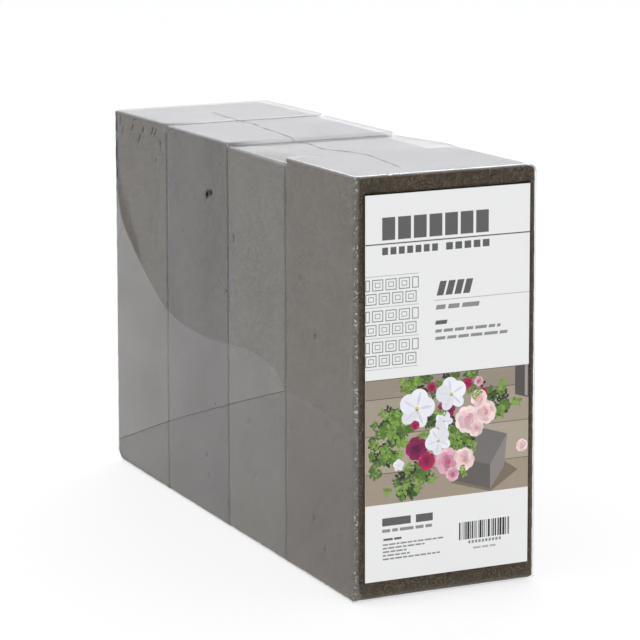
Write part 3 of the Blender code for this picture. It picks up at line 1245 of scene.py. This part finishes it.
def build_film(bricks):
    """Everything made of film."""
    shape = FilmShape(bricks)
    film = film_material("film")
    build_film_skin(shape, film)
    build_folded_layers(shape, film)
    welded = film_material("welded_film", clearness=0.75)
    build_weld(shape, welded)
    build_vents(shape, welded)


# ---- floor, light and camera

FLOOR_HALF = 12.0
CAMERA_PLACE = Vector((-0.6585, -1.2595, 0.4227))
CAMERA_AZIMUTH, CAMERA_PITCH, CAMERA_ROLL = 19.146, -6.55, -1.109
CAMERA_LENS = 135.06
CAMERA_SHIFT = (0.5757, -0.3603)


def build_floor():
    """A pale floor that glows a little, as on a light table, so that shadows stay soft."""
    graph = Graph("floor")
    dull = graph.add("BsdfDiffuse", {"Color": (0.9, 0.9, 0.9)})
    glow = graph.add("Emission", {"Color": (1.0, 1.0, 1.0), "Strength": 1.02})
    faded = graph.add("MixShader", {0: 0.7, 1: dull.outputs[0], 2: glow.outputs[0]})
    corners = [(x * FLOOR_HALF, y * FLOOR_HALF, 0.0) for x, y in ((-1, -1), (1, -1), (1, 1), (-1, 1))]
    mesh = mesh_from("floor", corners, [(0, 1, 2, 3)])
    mesh.materials.append(graph.finish(faded))
    add_object("floor", mesh)


def build_world():
    """White surroundings, brightest a little above the horizon."""
    world = bpy.data.worlds.new("studio")
    bpy.context.scene.world = world
    world.use_nodes = True
    graph = Graph("studio", world.node_tree)
    direction = graph.add("TexCoord").outputs["Generated"]
    rise = graph.add("SeparateXYZ", {0: direction}).outputs["Z"]
    ramp = graph.add("ValToRGB", {0: graph.spread(rise, -1.0, 1.0, 0.0, 1.0)})
    brightest = 1.5
    # Height from straight down (0) to straight up (1), radiance, and red in proportion to blue.
    stops = (
        (0.0, 0.9, 0.985), (0.5, 1.0, 0.97), (0.6, 1.35, 0.955), (0.72, 1.1, 0.985), (1.0, 0.95, 0.985)
    )
    elements = ramp.color_ramp.elements
    elements.remove(elements[1])
    for number, (height, radiance, warmth) in enumerate(stops):
        stop = elements.new(height) if number else elements[0]
        stop.position = height
        level = radiance / brightest
        stop.color = (level * warmth, level * (warmth + 0.005), level, 1.0)
    light = graph.add("Background", {"Color": ramp.outputs[0], "Strength": brightest})
    graph.add("OutputWorld", {"Surface": light.outputs[0]})


def add_softbox(name, place, target, width, height, radiance):
    """A rectangular light of even brightness that faces target."""
    light = bpy.data.lights.new(name, "AREA")
    light.shape = "RECTANGLE"
    light.size, light.size_y = width, height
    light.energy = radiance * width * height * math.pi
    box = add_object(name, light)
    box.location = place
    box.rotation_euler = (Vector(target) - Vector(place)).to_track_quat("-Z", "Y").to_euler()


def build_lights():
    """Soft light from the left and from above behind."""
    middle = (0.0, 0.0, 0.115)
    add_softbox("left_softbox", (-1.6, 0.5, 0.75), middle, 0.9, 0.9, 3.0)
    add_softbox("rear_softbox", (0.8, 1.15, 1.2), middle, 1.3, 0.5, 5.0)


def build_camera():
    """A camera at the photo's standpoint, aimed to the pack's left with a shifted lens.

    The shift belongs to that standpoint alone. A driver lets it go when the camera stands elsewhere.
    """
    data = bpy.data.cameras.new("camera")
    data.lens = CAMERA_LENS
    data.sensor_width = 36.0
    camera = add_object("camera", data)
    camera.location = CAMERA_PLACE
    turn = (
        Matrix.Rotation(math.radians(-CAMERA_AZIMUTH), 4, "Z")
        @ Matrix.Rotation(math.radians(90 + CAMERA_PITCH), 4, "X")
        @ Matrix.Rotation(math.radians(CAMERA_ROLL), 4, "Z")
    )
    camera.rotation_euler = turn.to_euler()
    bpy.context.scene.camera = camera
    for path, shift in zip(("shift_x", "shift_y"), CAMERA_SHIFT):
        driver = data.driver_add(path).driver
        driver.type = "SCRIPTED"
        variable = driver.variables.new()
        variable.name = "x"
        variable.targets[0].id = camera
        variable.targets[0].data_path = "location.x"
        driver.expression = f"{shift} if abs(x - ({CAMERA_PLACE.x})) < 0.001 else 0.0"


def build_stage():
    """Floor, surroundings, lights and camera, and plain colour reproduction."""
    build_floor()
    build_world()
    build_lights()
    build_camera()
    scene = bpy.context.scene
    scene.view_settings.view_transform = "Standard"
    scene.cycles.transparent_max_bounces = 32


# ---- everything

for number, brick_name in enumerate(BRICK_NAMES):
    build_brick(brick_name, seed=100 * (number + 1))
build_card()
build_film([BrickShape(brick_name) for brick_name in BRICK_NAMES])
build_stage()
